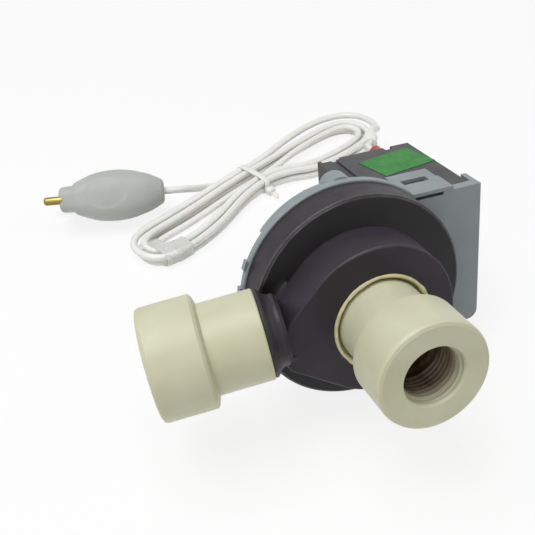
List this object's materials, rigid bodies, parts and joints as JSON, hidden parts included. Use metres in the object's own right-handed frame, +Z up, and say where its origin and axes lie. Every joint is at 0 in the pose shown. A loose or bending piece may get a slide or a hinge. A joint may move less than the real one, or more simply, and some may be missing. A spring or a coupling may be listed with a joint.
{
  "type": "magnet-driven drain pump",
  "caption": "Magnet-driven water pump with a dark volute, grey motor base and cream threaded pipe adapters, its white mains cord tied in a hank.",
  "frame": {"origin": "centre of the pump's footprint on the table, at the table's height", "axes": "+Z up; -Y the way the inlet looks, 11 degrees above level; -X the outlet's side"},
  "size_m": [0.1783, 0.2332, 0.0807],
  "materials": {
    "cream_pvc": "matte",
    "casing_plastic": "satin",
    "pipe_cement": "matte",
    "base_plastic": "satin",
    "cover_plastic": "satin",
    "seal_rubber": "matte",
    "core_steel": "satin",
    "bobbin_plastic": "matte",
    "winding_copper": "gloss",
    "label_green": "gloss",
    "tab_brass": "satin",
    "sleeve_red": "satin",
    "bearing_carbon": "satin",
    "shaft_steel": "polished",
    "magnet_ferrite": "matte",
    "impeller_plastic": "satin",
    "cord_white": "satin",
    "plug_grey": "satin"
  },
  "bodies": {
    "pump": {"bearing_carrier": "base_plastic", "bobbin_lower": "bobbin_plastic", "bobbin_upper": "bobbin_plastic", "cable_tie": "cord_white", "chamber_seal": "seal_rubber", "cord_hank": "cord_white", "cord_lead": "cord_white", "cord_tail": "cord_white", "front_bearing": "bearing_carbon", "front_bearing_cushion": "seal_rubber", "inlet_adapter": "cream_pvc", "inlet_cement_bead": "pipe_cement", "inlet_spigot": "casing_plastic", "lead_boot": "cord_white", "lead_wires": "cord_white", "motor_base": "base_plastic", "outlet_adapter": "cream_pvc", "outlet_spigot": "casing_plastic", "plug_body": "plug_grey", "plug_pins": "tab_brass", "rating_label": "label_green", "rear_bearing": "bearing_carbon", "rear_bearing_cushion": "seal_rubber", "shaft_seal": "seal_rubber", "stator_core": "core_steel", "stator_cover": "cover_plastic", "terminal_sleeves": "sleeve_red", "terminal_tabs": "tab_brass", "thrust_washers": "bearing_carbon", "volute_casing": "casing_plastic", "winding_lower": "winding_copper", "winding_upper": "winding_copper"},
    "rotor": {"rotor_shaft": "shaft_steel", "rotor_hub": "bobbin_plastic", "rotor_magnet": "magnet_ferrite", "rotor_driver": "bobbin_plastic", "impeller_cap": "impeller_plastic"},
    "impeller": {"impeller": "impeller_plastic"}
  },
  "joints": [
    {"name": "rotor_spin", "type": "hinge", "parent": "pump", "child": "rotor", "pos_m": [0.01346, -0.00644, 0.04119], "axis": [0, -0.9802, 0.1981], "continuous": true},
    {"name": "impeller_play", "type": "hinge", "parent": "rotor", "child": "impeller", "pos_m": [0.01346, -0.00644, 0.04119], "axis": [0, -0.9802, 0.1981], "range_deg": [0, 266]}
  ]
}
